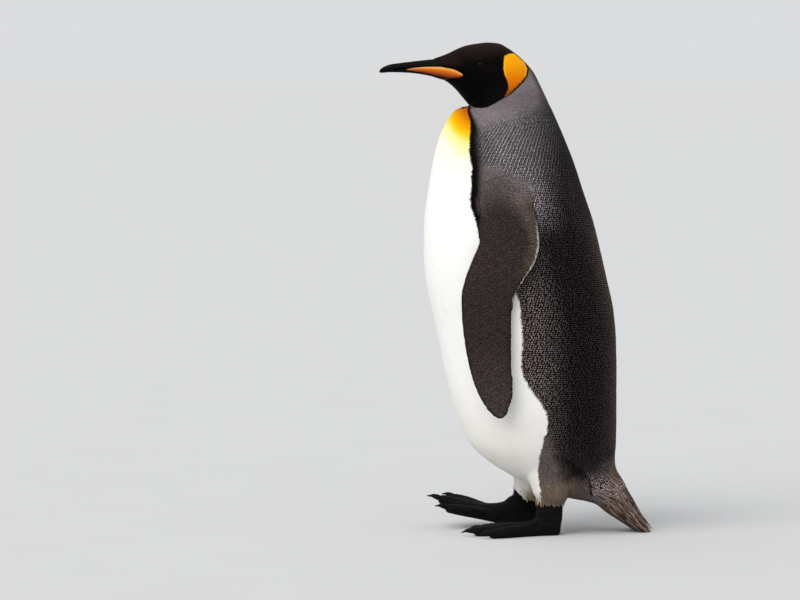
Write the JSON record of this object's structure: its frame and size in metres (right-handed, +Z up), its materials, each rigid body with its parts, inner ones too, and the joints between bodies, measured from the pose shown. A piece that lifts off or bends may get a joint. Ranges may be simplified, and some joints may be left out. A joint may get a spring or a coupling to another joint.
{
  "type": "king penguin, life-size still model",
  "caption": "King penguin, standing life-size model with the neck drawn in, flippers hanging at the sides, tail tip on the floor and the right foot raised on its heel.",
  "frame": {"origin": "centre of the bounding box on the floor plane", "axes": "+Z up from the floor, the bird faces -Y with its bill, +X is its left side"},
  "size_m": [0.288, 0.4368, 0.7824],
  "materials": {
    "plumage_black": "matte",
    "plumage_silver": "satin",
    "plumage_body": "matte",
    "plumage_tail": "matte",
    "plumage_flipper": "satin",
    "plumage_white": "matte",
    "foot_skin": "matte",
    "bill_horn": "satin",
    "bill_plate": "satin",
    "claw_horn": "satin",
    "eye": "gloss"
  },
  "bodies": {
    "root": {"head": "plumage_black", "neck": "plumage_silver", "trunk": "plumage_body", "tail": "plumage_tail", "wing_left": "plumage_flipper", "wing_right": "plumage_flipper", "leg_left": "plumage_white", "leg_right": "plumage_white", "foot_left": "foot_skin", "foot_right": "foot_skin", "bill_upper": "bill_horn", "bill_lower": "bill_horn", "bill_plate_left": "bill_plate", "bill_plate_right": "bill_plate", "eye_left": "eye", "eye_right": "eye", "claw_left_inner": "claw_horn", "claw_left_middle": "claw_horn", "claw_left_outer": "claw_horn", "claw_left_hind": "claw_horn", "claw_right_inner": "claw_horn", "claw_right_middle": "claw_horn", "claw_right_outer": "claw_horn", "claw_right_hind": "claw_horn"}
  },
  "joints": []
}
